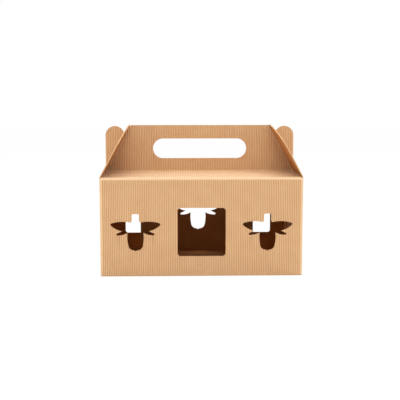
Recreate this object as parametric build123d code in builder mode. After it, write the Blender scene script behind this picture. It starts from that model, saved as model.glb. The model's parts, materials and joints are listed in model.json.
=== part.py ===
from build123d import *
import os
from math import cos, hypot, radians, sin

# Gable-topped carry carton of fine corrugated board, in millimetres.
# The front faces -Y, the ends face -X and +X, and the origin is the middle of the base.

# Board, its folds and the room between cut edges
board = 1.5
fold_radius = 2.0
fold_inner_radius = fold_radius - board
panel_gap = 0.3
hinge_gap = 0.3
cut_gap = 0.5

# Carton
width = 270.0
depth = 180.0
wall_height = 132.7

# Handle: two panels that rise face to face from the middle of the roof
handle_rise = 64.8
handle_corner = 3.5
hand_hole_width = 132.0
hand_hole_height = 27.8
hand_hole_rise = 32.0
ear_radius = 13.3
ear_rise = 50.3
lock_gap = 0.8

# End flaps, which lean in over the roof and lock behind the ears
flap_lean = 28.2
flap_length = 74.0
flap_shoulder = 48.0
flap_corner = 14.0
flap_slot_foot = 0.4

# Openings in the walls
window_width = 64.0
window_height = 65.0
window_sill = 26.8
window_corner = 4.0
bee_pitch = 88.0
bee_base = 33.5
back_window_x = 79.0
back_window_height = 63.0
back_bee_size = 1.06

# Window flaps of the back wall, folded into the carton from the side nearest its middle
left_flap_angle = 53.0
right_flap_angle = 60.0

# Glue flap inside the right back corner, and the seam where the base panels meet
glue_flap_width = 30.0
glue_flap_inset = 5.0
base_seam = 0.8
base_seam_depth = 0.4

# Worked out from the sizes above
wall_hinge_x = (width - board) / 2
wall_top = wall_height - board / 2 - hinge_gap
panel_half = width / 2 - board - cut_gap
handle_top = wall_height + handle_rise
ear_x = panel_half - ear_radius
ear_z = wall_height + ear_rise
lean_in = sin(radians(flap_lean))
lean_up = cos(radians(flap_lean))
ear_reach = hypot(wall_hinge_x - ear_x, ear_rise) + ear_radius
flap_slot_end = ear_reach + cut_gap
flap_slot_width = 2 * board + panel_gap + 2 * cut_gap
flap_half = depth / 2 - cut_gap
window_z = window_sill + window_height / 2
back_window_sill = window_sill + window_height - back_window_height
back_window_z = back_window_sill + back_window_height / 2
seam_half = (width - depth) / 2


def slanted_edge_x(z):
    """How far out the handle's slanted edge is at height z, beside the leaning end flap."""
    clear = board / 2 + lock_gap
    along = (z - wall_height + clear * lean_in) / lean_up
    return wall_hinge_x - along * lean_in - clear * lean_up


# Bee cut-out, drawn standing on its sting: x across, y up
with BuildSketch() as bee:
    with BuildLine():
        Line((0, 50.4), (3.2, 50.2))
        ThreePointArc((3.2, 50.2), (4.5, 49.5), (4.9, 48.2))
        Polyline((4.9, 48.2), (4.7, 42.0), (5.8, 38.9))
        ThreePointArc((5.8, 38.9), (19.5, 40.2), (31.2, 38.3))
        ThreePointArc((31.2, 38.3), (33.0, 36.4), (31.6, 34.0))
        ThreePointArc((31.6, 34.0), (25.8, 30.0), (18.0, 27.4))
        Line((18.0, 27.4), (24.6, 24.2))
        ThreePointArc((24.6, 24.2), (25.4, 22.7), (23.8, 21.7))
        ThreePointArc((23.8, 21.7), (16.8, 22.4), (10.6, 25.0))
        ThreePointArc((10.6, 25.0), (10.9, 16.4), (9.8, 8.4))
        ThreePointArc((9.8, 8.4), (7.9, 3.9), (3.4, 1.5))
        Polyline((3.4, 1.5), (1.5, 1.2), (0, 0), (0, 50.4))
    make_face()
    mirror(about=Plane.YZ)

# Middle of the handle's top, between the notches that take the end flaps
with BuildSketch() as handle_crown:
    with BuildLine():
        Polyline(
            (-slanted_edge_x(ear_z), ear_z),
            (-slanted_edge_x(handle_top), handle_top),
            (slanted_edge_x(handle_top), handle_top),
            (slanted_edge_x(ear_z), ear_z),
            close=True,
        )
    make_face()
    fillet(handle_crown.vertices().group_by(Axis.Y)[-1], handle_corner)

# Roof and handle panel in section: x is the depth, y the height
with BuildSketch() as gable_section:
    with BuildLine():
        Polyline(
            (-depth / 2, wall_top - fold_radius),
            (-depth / 2, wall_height),
            (-panel_gap / 2 - board, wall_height),
            (-panel_gap / 2 - board, handle_top),
            (-panel_gap / 2, handle_top),
            (-panel_gap / 2, wall_height - board),
            (-depth / 2 + board, wall_height - board),
            (-depth / 2 + board, wall_top - fold_radius),
            close=True,
        )
    make_face()
    for corner, radius in (
        ((-depth / 2, wall_height), fold_radius),
        ((-panel_gap / 2 - board, wall_height), fold_inner_radius),
        ((-panel_gap / 2, wall_height - board), fold_radius),
        ((-depth / 2 + board, wall_height - board), fold_inner_radius),
    ):
        fillet(gable_section.vertices().sort_by_distance(corner)[0], radius)

with BuildPart() as carton_body:
    # Walls and floor
    with BuildSketch():
        RectangleRounded(width, depth, fold_radius)
    extrude(amount=board)
    with BuildSketch():
        RectangleRounded(width, depth, fold_radius)
        RectangleRounded(width - 2 * board, depth - 2 * board, fold_inner_radius, mode=Mode.SUBTRACT)
    extrude(amount=wall_top)

    # Seam between the base panels, and the creases on which they fold flat
    with BuildSketch():
        with BuildLine():
            Line((-seam_half, 0), (seam_half, 0))
            for end in (-1, 1):
                corner_x = end * (width / 2 - 2 * fold_radius)
                corner_y = depth / 2 - 2 * fold_radius
                Polyline((corner_x, corner_y), (end * seam_half, 0), (corner_x, -corner_y))
        trace(line_width=base_seam)
    extrude(amount=base_seam_depth, mode=Mode.SUBTRACT)

    # Glue flap that joins the sheet's two ends
    with BuildSketch(Plane.XY.offset(board)):
        with Locations((width / 2 - board, depth / 2 - board)):
            Rectangle(board, glue_flap_width, align=(Align.MAX, Align.MAX))
    extrude(amount=wall_top - board - glue_flap_inset)

    # Roof panels and the handle panels that rise from them
    with BuildSketch(Plane.YZ.offset(-panel_half)):
        add(gable_section.sketch)
        mirror(about=Plane.YZ)
    extrude(amount=2 * panel_half)

    # Outline of the handle and its hand hole
    with BuildSketch(Plane.XZ):
        with Locations((0, ear_z)):
            Rectangle(2 * width, handle_rise, align=(Align.CENTER, Align.MIN))
        with Locations((-ear_x, ear_z), (ear_x, ear_z)):
            Circle(ear_radius, mode=Mode.SUBTRACT)
        add(handle_crown.sketch, mode=Mode.SUBTRACT)
        with Locations((0, wall_height + hand_hole_rise)):
            SlotOverall(hand_hole_width, hand_hole_height)
    extrude(amount=board + panel_gap, both=True, mode=Mode.SUBTRACT)

    # Window and bees in the front wall
    with BuildSketch(Plane.XZ.offset(depth / 2)):
        with Locations((0, window_z)):
            RectangleRounded(window_width, window_height, window_corner)
        with Locations((-bee_pitch, bee_base), (bee_pitch, bee_base)):
            add(bee.sketch)
    extrude(amount=-board, mode=Mode.SUBTRACT)

    # Windows and bee in the back wall
    with BuildSketch(Plane.XZ.offset(-depth / 2)) as back_openings:
        with Locations((-back_window_x, back_window_z), (back_window_x, back_window_z)):
            Rectangle(window_width, back_window_height)
        outer_corners = back_openings.vertices().group_by(Axis.X)
        fillet(outer_corners[0] + outer_corners[-1], window_corner)
        with Locations((0, bee_base)):
            add(scale(bee.sketch, by=back_bee_size, mode=Mode.PRIVATE))
    extrude(amount=board, mode=Mode.SUBTRACT)

# End flap, drawn in its own leaning plane: x along the crease, y up the flap
flap_plane = Plane(
    origin=(wall_hinge_x, 0, wall_height), x_dir=(0, 1, 0), z_dir=(lean_up, 0, lean_in)
)
with BuildPart() as right_end_flap:
    with BuildSketch(flap_plane) as flap_outline:
        with BuildLine():
            ThreePointArc((-flap_half, flap_shoulder), (0, flap_length), (flap_half, flap_shoulder))
            Polyline(
                (flap_half, flap_shoulder), (flap_half, 0), (-flap_half, 0), (-flap_half, flap_shoulder)
            )
        make_face()
        fillet(flap_outline.vertices().group_by(Axis.Y)[-1], flap_corner)
        with Locations((0, flap_slot_foot)):
            Rectangle(
                flap_slot_width,
                flap_slot_end - flap_slot_foot,
                align=(Align.CENTER, Align.MIN),
                mode=Mode.SUBTRACT,
            )
    extrude(amount=board / 2, both=True)
    with BuildSketch(Plane.XZ.offset(flap_half)):
        with Locations((wall_hinge_x, wall_height)):
            Circle(board / 2)
    extrude(amount=-2 * flap_half)

with BuildPart() as left_end_flap:
    mirror(right_end_flap.part, about=Plane.YZ)


def window_flap(side, angle):
    """Flap of a back window on that side of the carton, folded in by angle from the wall."""
    hinge_x = side * (back_window_x - window_width / 2 + hinge_gap + board / 2)
    hinge_y = (depth - board) / 2
    reach = window_width - hinge_gap - board / 2 - cut_gap
    across = cos(radians(angle))
    inward = sin(radians(angle))
    plane = Plane(
        origin=(hinge_x, hinge_y, back_window_sill + cut_gap),
        x_dir=(side * across, -inward, 0),
        z_dir=(-inward, -side * across, 0),
    )
    height = back_window_height - 2 * cut_gap
    with BuildPart() as flap:
        with BuildSketch(plane) as outline:
            Rectangle(reach, height, align=(Align.MIN, Align.MIN))
            fillet(outline.vertices().group_by(Axis.X)[-1], window_corner - cut_gap)
        extrude(amount=board / 2, both=True)
        with BuildSketch(Plane.XY.offset(back_window_sill + cut_gap)):
            with Locations((hinge_x, hinge_y)):
                Circle(board / 2)
        extrude(amount=height)
    return flap


left_window_flap = window_flap(-1, left_flap_angle)
right_window_flap = window_flap(1, right_flap_angle)

os.makedirs("parts", exist_ok=True)
for name, piece in (
    ("carton_body", carton_body),
    ("left_end_flap", left_end_flap),
    ("right_end_flap", right_end_flap),
    ("left_window_flap", left_window_flap),
    ("right_window_flap", right_window_flap),
):
    piece.part.label = name
    export_step(piece.part, f"parts/{name}.step")
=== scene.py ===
import json
import math

import bmesh
import bpy
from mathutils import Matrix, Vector


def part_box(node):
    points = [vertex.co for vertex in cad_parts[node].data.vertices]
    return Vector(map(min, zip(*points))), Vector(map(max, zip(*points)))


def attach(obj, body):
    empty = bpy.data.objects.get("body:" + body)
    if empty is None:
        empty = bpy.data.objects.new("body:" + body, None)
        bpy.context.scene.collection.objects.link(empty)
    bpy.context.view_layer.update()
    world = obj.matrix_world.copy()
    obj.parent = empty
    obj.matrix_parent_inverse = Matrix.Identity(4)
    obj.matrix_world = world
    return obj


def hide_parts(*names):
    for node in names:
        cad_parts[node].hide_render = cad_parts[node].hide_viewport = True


mm = 0.001

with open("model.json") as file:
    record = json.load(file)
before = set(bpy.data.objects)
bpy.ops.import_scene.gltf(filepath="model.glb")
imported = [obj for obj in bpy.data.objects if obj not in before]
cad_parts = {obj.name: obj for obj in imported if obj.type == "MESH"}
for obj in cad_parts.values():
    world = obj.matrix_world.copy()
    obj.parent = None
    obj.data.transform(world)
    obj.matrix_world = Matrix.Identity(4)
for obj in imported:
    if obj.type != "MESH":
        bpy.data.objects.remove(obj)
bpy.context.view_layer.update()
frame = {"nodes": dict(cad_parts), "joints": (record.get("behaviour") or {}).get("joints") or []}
print("frame loaded")

# sizes of the folded sheet, read from the frame or as the board has them
joints = {joint["name"]: joint for joint in frame["joints"]}
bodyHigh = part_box("carton_body")[1]
board = {
    "thickness": 1.5 * mm,
    "foldRadius": 2.0 * mm,
    "handleGap": 0.3 * mm,
    "handleFoot": 0.4 * mm,   # the handle's flutes start this far above the roof
    "linerEnd": 0.6 * mm,     # nearer to the roof's top than this is a fold's outside, not the liner
    "halfWidth": bodyHigh.x,
    "halfDepth": bodyHigh.y,
    "top": bodyHigh.z,
    "roofHeight": joints["right_end_fold"]["pos_m"][2],
}
hair = 0.0001 * mm    # corners nearer than this are one corner
slack = 0.05 * mm     # room for rounding when a place is compared


def linear(hexColour):
    channels = []
    for place in (1, 3, 5):
        value = int(hexColour[place:place + 2], 16) / 255
        channels.append(value / 12.92 if value <= 0.04045 else ((value + 0.055) / 1.055) ** 2.4)
    return (*channels, 1.0)


def addNode(tree, kind, settings, links):
    node = tree.nodes.new(kind)
    for name, value in settings.items():
        if hasattr(node, name):
            setattr(node, name, value)
        else:
            node.inputs[name].default_value = value
    for name, source in links.items():
        tree.links.new(source, node.inputs[name])
    return node


def startMaterial(name):
    material = bpy.data.materials.new(name)
    material.use_nodes = True
    material.node_tree.nodes.clear()
    return material, material.node_tree


# unbleached kraft paper: long brown wood fibres, so it is matt, faintly cloudy and finely flecked
kraft = {
    "cloudSize": 22 * mm,
    "fibreLength": 1.6 * mm,
    "fibreWidth": 0.35 * mm,
    "fibreShare": 0.55,        # how much of the cloudiness comes from the fibres
    "deepBelow": 0.3,          # the noise's level for the deep colour
    "paleAbove": 0.7,          # and for the pale one
    "fleckSize": 0.8 * mm,
    "fleckFrom": 0.66,         # only the noise's peaks are flecks
    "fleckFull": 0.74,
    "bumpHeight": 0.03 * mm,
    "bumpStrength": 0.5,
    "valleyShadeTint": "#a2682c",   # painted shade, darker in the valleys between the flutes and along the foot
    "valleyShadeShare": 0.7,
    "creaseTint": "#fbd9b2",   # painted highlight, paler along the folds that turn outward, where they catch the light
    "creaseShare": 0.55,
    "ior": 1.45,
    "specular": 0.45,
    "fuzzRoughness": 0.45,
}


# mixes a tint in where an attribute of the mesh says so; a colour mix has its two colours at
# inputs 6 and 7 and its result at output 2
def tinted(tree, colour, attribute, share, tint):
    amount = addNode(tree, "ShaderNodeAttribute", {"attribute_name": attribute}, {})
    factor = addNode(tree, "ShaderNodeMath", {"operation": "MULTIPLY"}, {0: amount.outputs["Fac"]})
    factor.inputs[1].default_value = share
    mixed = addNode(tree, "ShaderNodeMix", {"data_type": "RGBA"}, {"Factor": factor.outputs[0]})
    mixed.inputs[7].default_value = linear(tint)
    tree.links.new(colour, mixed.inputs[6])
    return mixed.outputs[2]


# fibreAxis is the way the fibres lie, 0 for X to 2 for Z, and fuzz is how far their loose ends
# pale the paper where it is seen at a low angle
def kraftPaper(name, look):
    material, tree = startMaterial(name)
    place = addNode(tree, "ShaderNodeTexCoord", {}, {})
    stretch = [1 / kraft["fibreWidth"]] * 3
    stretch[look["fibreAxis"]] = 1 / kraft["fibreLength"]
    along = addNode(tree, "ShaderNodeMapping", {"Scale": stretch}, {"Vector": place.outputs["Object"]})
    clouds = addNode(tree, "ShaderNodeTexNoise", {"Scale": 1 / kraft["cloudSize"], "Detail": 3.0},
                     {"Vector": place.outputs["Object"]})
    fibres = addNode(tree, "ShaderNodeTexNoise", {"Scale": 1.0, "Detail": 3.0, "Roughness": 0.6},
                     {"Vector": along.outputs["Vector"]})
    blend = addNode(tree, "ShaderNodeMix", {"data_type": "FLOAT", "Factor": kraft["fibreShare"]},
                    {"A": clouds.outputs["Fac"], "B": fibres.outputs["Fac"]})
    spread = addNode(tree, "ShaderNodeMapRange",
                     {"From Min": kraft["deepBelow"], "From Max": kraft["paleAbove"]},
                     {"Value": blend.outputs["Result"]})
    paper = addNode(tree, "ShaderNodeMix", {"data_type": "RGBA"}, {"Factor": spread.outputs["Result"]})
    paper.inputs[6].default_value = linear(look["deep"])
    paper.inputs[7].default_value = linear(look["pale"])
    flecks = addNode(tree, "ShaderNodeTexNoise", {"Scale": 1 / kraft["fleckSize"], "Detail": 1.0},
                     {"Vector": place.outputs["Object"]})
    sparse = addNode(tree, "ShaderNodeMapRange",
                     {"From Min": kraft["fleckFrom"], "From Max": kraft["fleckFull"],
                      "To Max": look["fleckShare"]},
                     {"Value": flecks.outputs["Fac"]})
    flecked = addNode(tree, "ShaderNodeMix", {"data_type": "RGBA"}, {"Factor": sparse.outputs["Result"]})
    flecked.inputs[7].default_value = linear(look["fleck"])
    tree.links.new(paper.outputs[2], flecked.inputs[6])
    # painted shade in the valleys and at the foot, then a painted highlight along the outward folds
    valleys = tinted(tree, flecked.outputs[2], "valleyAndFootShade", kraft["valleyShadeShare"], kraft["valleyShadeTint"])
    creased = tinted(tree, valleys, "crease", kraft["creaseShare"], kraft["creaseTint"])
    relief = addNode(tree, "ShaderNodeBump",
                     {"Strength": kraft["bumpStrength"], "Distance": kraft["bumpHeight"]},
                     {"Height": fibres.outputs["Fac"]})
    shader = addNode(tree, "ShaderNodeBsdfPrincipled",
                     {"Roughness": look["roughness"], "IOR": kraft["ior"],
                      "Specular IOR Level": kraft["specular"], "Sheen Weight": look["fuzz"],
                      "Sheen Roughness": kraft["fuzzRoughness"]},
                     {"Base Color": creased, "Normal": relief.outputs["Normal"]})
    addNode(tree, "ShaderNodeOutputMaterial", {}, {"Surface": shader.outputs["BSDF"]})
    return material


# the outer paper is drawn over the flutes, so its fibres run up the carton
fluteKraft = kraftPaper("kraftFluting", {
    "pale": "#e7c194", "deep": "#d7ae82", "fleck": "#a87444", "fleckShare": 0.35,
    "roughness": 0.62, "fibreAxis": 2, "fuzz": 0.25,
})
# the inner liner is flat and browner
linerKraft = kraftPaper("kraftLiner", {
    "pale": "#c3874b", "deep": "#ad7137", "fleck": "#7c4c1e", "fleckShare": 0.35,
    "roughness": 0.8, "fibreAxis": 0, "fuzz": 0.0,
})
# a die-cut edge is matt, with torn fibres and stronger flecks
edgeKraft = kraftPaper("kraftCutEdge", {
    "pale": "#dcae80", "deep": "#c29264", "fleck": "#8c6036", "fleckShare": 0.5,
    "roughness": 0.95, "fibreAxis": 1, "fuzz": 0.15,
})
print("materials made")

# open flutes on the outside of the board; crush is how far from each kind of fold they are
# pressed down: one that turns outward, one that turns inward, and the one at the table
flute = {
    "pitch": 2.4 * mm,
    "height": 0.7 * mm,
    "steps": 5,           # flat strips round each flute
    "shift": 0.07 * mm,   # keeps the cuts off the sides of the openings
    "crush": {"outward": 2.2 * mm, "inward": 0.8 * mm, "foot": 2.2 * mm},
    "crushSteps": 3,
    "footShade": 0.75 * mm,   # how far up from the table the foot gets painted shade, standing in for its contact shadow
    "roundness": 50,      # degrees between two strips that still look like one curve
}
flatAngle = 0.1     # degrees between two faces that are one flat face
sameWay = 0.99      # cosine of the angle between two faces that look the same way
endless = 1.0       # metres, past the end of any panel


def fluteCuts(halfAcross):
    step = flute["pitch"] / flute["steps"]
    count = int(halfAcross / flute["pitch"]) * flute["steps"]
    return [place * step + flute["shift"] for place in range(-count, count + 1)]


# a seam keeps a cut's line when the faces beside it are merged
def keepLines(made):
    for part in made["geom_cut"]:
        if isinstance(part, bmesh.types.BMEdge):
            part.seam = True


# splits a mesh at each cut; the row of cuts is halved each time, so each split meets a small mesh
def inSlabs(mesh, spot, direction, cuts):
    if not cuts:
        return [mesh]
    middle = len(cuts) // 2
    beyond = mesh.copy()
    for half, clear in ((mesh, "clear_outer"), (beyond, "clear_inner")):
        keepLines(bmesh.ops.bisect_plane(half, geom=[*half.verts, *half.edges, *half.faces], dist=hair,
                                         plane_co=spot + direction * cuts[middle], plane_no=direction,
                                         **{clear: True}))
    return (inSlabs(mesh, spot, direction, cuts[:middle])
            + inSlabs(beyond, spot, direction, cuts[middle + 1:]))


def joinSlabs(slabs):
    whole = bmesh.new()
    for slab in slabs:
        part = bpy.data.meshes.new("slab")
        slab.to_mesh(part)
        slab.free()
        whole.from_mesh(part)
        bpy.data.meshes.remove(part)
    bmesh.ops.remove_doubles(whole, verts=whole.verts, dist=hair)
    return whole


def onPanel(face, panel):
    if face.normal.dot(panel["out"]) < sameWay:
        return False
    offset = face.calc_center_median() - panel["spot"]
    return (abs(offset.dot(panel["out"])) < slack
            and panel["start"] < offset.dot(panel["along"]) < panel["end"])


# 0 at a fold of the kinds given, where the flutes are pressed flat, and 1 where they stand
def standing(reach, panel, kinds):
    share = 1.0
    for name, room in (("foldAtStart", reach - panel["start"]), ("foldAtEnd", panel["end"] - reach)):
        if panel.get(name) in kinds:
            near = min(1.0, max(0.0, room / flute["crush"][panel[name]]))
            share *= near * near * (3 - 2 * near)
    return share


# lines along a fold, between which the flutes rise
def cutRows(mesh, panel):
    for step in range(flute["crushSteps"] + 1):
        for name, fold, way in (("foldAtStart", panel["start"], 1), ("foldAtEnd", panel["end"], -1)):
            if panel.get(name):
                row = fold + way * flute["crush"][panel[name]] * step / flute["crushSteps"]
                faces = [face for face in mesh.faces if onPanel(face, panel)]
                edges = {edge for face in faces for edge in face.edges}
                corners = {corner for face in faces for corner in face.verts}
                keepLines(bmesh.ops.bisect_plane(mesh, geom=[*faces, *edges, *corners], dist=hair,
                                                 plane_co=panel["spot"] + panel["along"] * row,
                                                 plane_no=panel["along"]))


# 0 on the crest of a flute and 1 between two, straight from one cut to the next
def valleyAt(side):
    place = (side - flute["shift"]) * flute["steps"] / flute["pitch"]
    before = math.floor(place)
    depths = [(1 - math.cos(2 * math.pi * cut / flute["steps"])) / 2 for cut in (before, before + 1)]
    return depths[0] + (depths[1] - depths[0]) * (place - before)


# painted contact shadow at the foot: whole up to the given height above the table, and gone at twice that
def footShadeAt(reach, panel):
    if panel.get("foldAtStart") != "foot":
        return 0.0
    return min(1.0, max(0.0, 2 - reach / flute["footShade"]))


def raiseFlutes(mesh, panel):
    out, along = panel["out"], panel["along"]
    across = along.cross(out)
    valleys = mesh.verts.layers.float["valleyAndFootShade"]
    creases = mesh.verts.layers.float["crease"]
    faces = [face for face in mesh.faces if onPanel(face, panel)]
    cuts = fluteCuts(panel["halfAcross"])
    for corner in {corner for face in faces for corner in face.verts}:
        offset = corner.co - panel["spot"]
        side, reach = offset.dot(across), offset.dot(along)
        inRow = cuts[0] < side < cuts[-1]
        depth = valleyAt(side) * standing(reach, panel, flute["crush"]) if inRow else 0.0
        # painted highlight along the outward folds, and painted shade in the valleys and at the foot
        corner[creases] = 1 - standing(reach, panel, ("outward",))
        corner[valleys] = max(depth, footShadeAt(reach, panel))
        corner.co -= out * flute["height"] * depth
    return faces


# how a face lies to a panel when it is the cut edge of the board there
cutEdge = {
    "leastTurn": 0.3,   # cosine of the least angle between the edge's face and the panel's
    "room": 0.05,       # how far its ends may be off the board's two faces, as a share of the thickness
}


# a cut edge runs through the board, from its back to its front or into a flute
def isCutEdge(face, panel):
    thick = board["thickness"]
    if abs(face.normal.dot(panel["out"])) > cutEdge["leastTurn"]:
        return False
    levels = [(corner.co - panel["spot"]).dot(panel["out"]) for corner in face.verts]
    return (abs(min(levels) + thick) < cutEdge["room"] * thick
            and -thick / 2 < max(levels) < cutEdge["room"] * thick)


# material 0 is the fluted outside, 1 the flat inside and 2 a cut edge
def paintBoard(mesh, panels, fluted, isInner):
    for face in mesh.faces:
        if face in fluted:
            face.material_index = 0
        elif any(isCutEdge(face, panel) for panel in panels):
            face.material_index = 2
        else:
            face.material_index = 1 if isInner(face.calc_center_median()) else 0


def copyOfNode(name, node):
    piece = bpy.data.objects.new(name, frame["nodes"][node].data.copy())
    bpy.context.scene.collection.objects.link(piece)
    piece.data.materials.clear()
    for material in (fluteKraft, linerKraft, edgeKraft):
        piece.data.materials.append(material)
    return piece


def sliceBoard(piece, panels, slabsOf):
    whole = bmesh.new()
    whole.from_mesh(piece.data)
    bmesh.ops.remove_doubles(whole, verts=whole.verts, dist=hair)
    whole.normal_update()
    for panel in panels:
        cutRows(whole, panel)
    sliced = joinSlabs(slabsOf(whole))
    sliced.to_mesh(piece.data)
    sliced.free()
    for layer in ("valleyAndFootShade", "crease"):
        piece.data.attributes.new(layer, "FLOAT", "POINT")


def fluteBoard(piece, panels, isInner):
    bpy.ops.object.select_all(action="DESELECT")
    bpy.context.view_layer.objects.active = piece
    piece.select_set(True)
    bpy.ops.object.mode_set(mode="EDIT")
    bpy.ops.mesh.select_all(action="SELECT")
    bpy.ops.mesh.dissolve_limited(angle_limit=math.radians(flatAngle), delimit={"SEAM"})
    mesh = bmesh.from_edit_mesh(piece.data)
    mesh.normal_update()
    fluted = set()
    for panel in panels:
        fluted.update(raiseFlutes(mesh, panel))
    mesh.normal_update()
    paintBoard(mesh, panels, fluted, isInner)
    for edge in mesh.edges:
        edge.seam = False
    bmesh.update_edit_mesh(piece.data)
    bpy.ops.object.mode_set(mode="OBJECT")
    bpy.ops.object.shade_smooth_by_angle(angle=math.radians(flute["roundness"]))
    for face in piece.data.polygons:
        face.use_smooth = face.material_index == 0


def flutedPiece(name, node, body, panels, slabsOf, isInner):
    piece = copyOfNode(name, node)
    sliceBoard(piece, panels, slabsOf)
    fluteBoard(piece, panels, isInner)
    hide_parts(node)
    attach(piece, body)
    print(name, "has", len(piece.data.polygons), "faces")


def cartonPanels():
    halfWidth, halfDepth, roof = board["halfWidth"], board["halfDepth"], board["roofHeight"]
    fold = board["foldRadius"]
    handleFace = board["handleGap"] / 2 + board["thickness"]
    up = Vector((0, 0, 1))
    panels = []
    for side in (-1, 1):
        out = Vector((0, side, 0))
        endOut = Vector((side, 0, 0))
        panels += [
            # wall
            {"spot": Vector((0, side * halfDepth, 0)), "out": out, "along": up,
             "halfAcross": halfWidth - fold, "start": 0.0, "foldAtStart": "foot",
             "end": roof - fold, "foldAtEnd": "outward"},
            # roof
            {"spot": Vector((0, side * halfDepth, roof)), "out": up, "along": -out,
             "halfAcross": halfWidth - fold, "start": fold, "foldAtStart": "outward",
             "end": halfDepth - handleFace, "foldAtEnd": "inward"},
            # handle
            {"spot": Vector((0, side * handleFace, roof)), "out": out, "along": up,
             "halfAcross": halfWidth - fold, "start": board["handleFoot"], "foldAtStart": "inward",
             "end": endless},
            # end wall
            {"spot": Vector((side * halfWidth, 0, 0)), "out": endOut, "along": up,
             "halfAcross": halfDepth - fold, "start": 0.0, "foldAtStart": "foot", "end": board["top"]},
        ]
    return panels


# the liner is on the walls' inside, and where the two handle panels meet
def insideCarton(spot):
    if spot.z > board["roofHeight"]:
        return abs(spot.y) < board["handleGap"]
    return (abs(spot.x) < board["halfWidth"] - board["thickness"] + slack
            and abs(spot.y) < board["halfDepth"] - board["thickness"] + slack
            and board["thickness"] - slack < spot.z < board["roofHeight"] - board["linerEnd"])


# gives a slab's open side at sideX the same corners as the end cuts give the slab beyond it
def splitSide(slab, sideX, cuts):
    for edge in [edge for edge in slab.edges if edge.is_boundary]:
        start, end = sorted(edge.verts, key=lambda corner: corner.co.y)
        if max(abs(start.co.x - sideX), abs(end.co.x - sideX)) > hair:
            continue
        for cut in cuts:
            if start.co.y + hair < cut < end.co.y - hair:
                share = (cut - start.co.y) / (end.co.y - start.co.y)
                start = bmesh.utils.edge_split(edge, start, share)[1]
                edge = next(part for part in start.link_edges if end in part.verts)


# every panel but the two ends has its flutes side by side along X, and the ends have them along Y
def cartonSlabs(whole):
    origin = Vector((0, 0, 0))
    sideCuts = fluteCuts(board["halfWidth"] - board["foldRadius"])
    endCuts = fluteCuts(board["halfDepth"] - board["foldRadius"])
    slabs = inSlabs(whole, origin, Vector((1, 0, 0)), sideCuts)
    splitSide(slabs[1], sideCuts[0], endCuts)
    splitSide(slabs[-2], sideCuts[-1], endCuts)
    left = inSlabs(slabs[0], origin, Vector((0, 1, 0)), endCuts)
    right = inSlabs(slabs[-1], origin, Vector((0, 1, 0)), endCuts)
    return left + slabs[1:-1] + right


flutedPiece("cartonBoard", "carton_body", "carton", cartonPanels(), cartonSlabs, insideCarton)

# the two kinds of flap; looks is roughly the way in which a right-hand one's outer face looks
flaps = {
    "end": {"piece": "EndFlap", "looks": (1, 0, 0.5), "foldAtStart": "outward"},
    "window": {"piece": "WindowFlap", "looks": (1, 0.6, 0), "foldAtStart": None},
}
nearlySameWay = 0.8   # cosine, for a direction that is only rough


# the outer face of a flap is the largest of its faces that looks out
def flapPanel(node, looks, foldAtStart):
    data = frame["nodes"][node].data
    outer = max((face for face in data.polygons if face.normal.dot(looks) > nearlySameWay),
                key=lambda face: face.area)
    out = outer.normal.copy()
    spot = Vector(outer.center)
    along = Vector((0, 0, 1))
    along = (along - out * along.dot(out)).normalized()
    across = along.cross(out)
    sides = [(corner.co - spot).dot(across) for corner in data.vertices]
    reaches = [(corner.co - spot).dot(along) for corner in data.vertices]
    spot += across * (max(sides) + min(sides)) / 2
    return {"spot": spot, "out": out, "along": along, "foldAtStart": foldAtStart,
            "start": min(reaches) + (board["thickness"] / 2 if foldAtStart else -endless), "end": endless,
            "halfAcross": (max(sides) - min(sides)) / 2 + flute["pitch"]}


def flutedFlap(name, node, body, panel):
    def slabsOf(whole):
        return inSlabs(whole, panel["spot"], panel["along"].cross(panel["out"]),
                       fluteCuts(panel["halfAcross"]))

    def behind(spot):
        return (spot - panel["spot"]).dot(panel["out"]) < -board["thickness"] / 2

    flutedPiece(name, node, body, [panel], slabsOf, behind)


for side, out in (("left", -1), ("right", 1)):
    for kind, flap in flaps.items():
        x, y, z = flap["looks"]
        panel = flapPanel(f"{side}_{kind}_flap", Vector((out * x, y, z)).normalized(), flap["foldAtStart"])
        flutedFlap(side + flap["piece"], f"{side}_{kind}_flap", f"{side}_{kind}", panel)
print("board fluted")

stage = {
    "floorSize": 8.0,
    "floorColour": "#f4f4f2",
    "floorRoughness": 0.9,
    "seenWhite": 0.96,   # how much of the floor the camera sees as plain white
    "skyStrength": 0.82,
}


# 1 for a ray that shows the background, straight or in a reflection
def backgroundRay(tree):
    rays = addNode(tree, "ShaderNodeLightPath", {}, {})
    seen = addNode(tree, "ShaderNodeMath", {"operation": "ADD", "use_clamp": True},
                   {0: rays.outputs["Is Camera Ray"], 1: rays.outputs["Is Glossy Ray"]})
    return addNode(tree, "ShaderNodeMath", {"operation": "ADD", "use_clamp": True},
                   {0: seen.outputs[0], 1: rays.outputs["Is Transmission Ray"]}).outputs[0]


def paleFloor():
    material, tree = startMaterial("paperSweep")  # matt white studio paper
    share = addNode(tree, "ShaderNodeMath", {"operation": "MULTIPLY"}, {0: backgroundRay(tree)})
    share.inputs[1].default_value = stage["seenWhite"]
    paper = addNode(tree, "ShaderNodeBsdfPrincipled",
                    {"Base Color": linear(stage["floorColour"]), "Roughness": stage["floorRoughness"]}, {})
    white = addNode(tree, "ShaderNodeEmission", {"Strength": 1.0}, {})
    mixed = addNode(tree, "ShaderNodeMixShader", {},
                    {0: share.outputs[0], 1: paper.outputs["BSDF"], 2: white.outputs["Emission"]})
    addNode(tree, "ShaderNodeOutputMaterial", {}, {"Surface": mixed.outputs["Shader"]})
    return material


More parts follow.
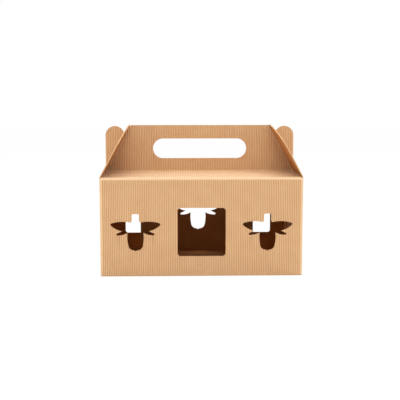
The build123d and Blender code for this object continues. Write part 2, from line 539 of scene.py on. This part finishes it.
bpy.ops.object.select_all(action="DESELECT")
bpy.ops.mesh.primitive_plane_add(size=stage["floorSize"], location=(0, 0, 0))
floor = bpy.context.object
floor.name = "floor"
floor.data.materials.append(paleFloor())

world = bpy.data.worlds.new("studio")
bpy.context.scene.world = world
world.use_nodes = True
world.node_tree.nodes.clear()
dim = addNode(world.node_tree, "ShaderNodeBackground", {"Strength": stage["skyStrength"]}, {})
bright = addNode(world.node_tree, "ShaderNodeBackground", {"Strength": 1.0}, {})
for shade in (dim, bright):
    shade.inputs["Color"].default_value = (1, 1, 1, 1)
both = addNode(world.node_tree, "ShaderNodeMixShader", {},
               {0: backgroundRay(world.node_tree), 1: dim.outputs[0], 2: bright.outputs[0]})
addNode(world.node_tree, "ShaderNodeOutputWorld", {}, {"Surface": both.outputs["Shader"]})

# places and sizes in metres, power in watts
lamps = [
    {"name": "topLamp", "place": (0.0, 0.3, 1.6), "size": 1.4, "power": 23},
    {"name": "keyLamp", "place": (0.0, -1.6, 1.4), "size": 0.7, "power": 8},
]
lampAim = Vector((0, 0, 0.1))   # the carton's middle
for lamp in lamps:
    bpy.ops.object.light_add(type="AREA", location=lamp["place"])
    light = bpy.context.object
    light.name = lamp["name"]
    light.data.size = lamp["size"]
    light.data.energy = lamp["power"]
    light.rotation_euler = (lampAim - light.location).to_track_quat("-Z", "Y").to_euler()
print("stage lit")

# the view is a long lens a little above the roof, just left of the middle
view = {
    "place": (-0.036, -1.228, 0.253),
    "down": 7.53,         # degrees
    "right": 1.7,         # degrees
    "lens": 78.0,         # mm, on a sensor of the width below
    "sensorWidth": 36,
    "clipStart": 0.05,
}
bpy.ops.object.camera_add(location=view["place"])
camera = bpy.context.object
camera.rotation_euler = (math.radians(90 - view["down"]), 0, -math.radians(view["right"]))
camera.data.lens = view["lens"]
camera.data.sensor_width = view["sensorWidth"]
camera.data.clip_start = view["clipStart"]
bpy.context.scene.camera = camera
bpy.context.scene.view_settings.view_transform = "Standard"

print("scene ready")
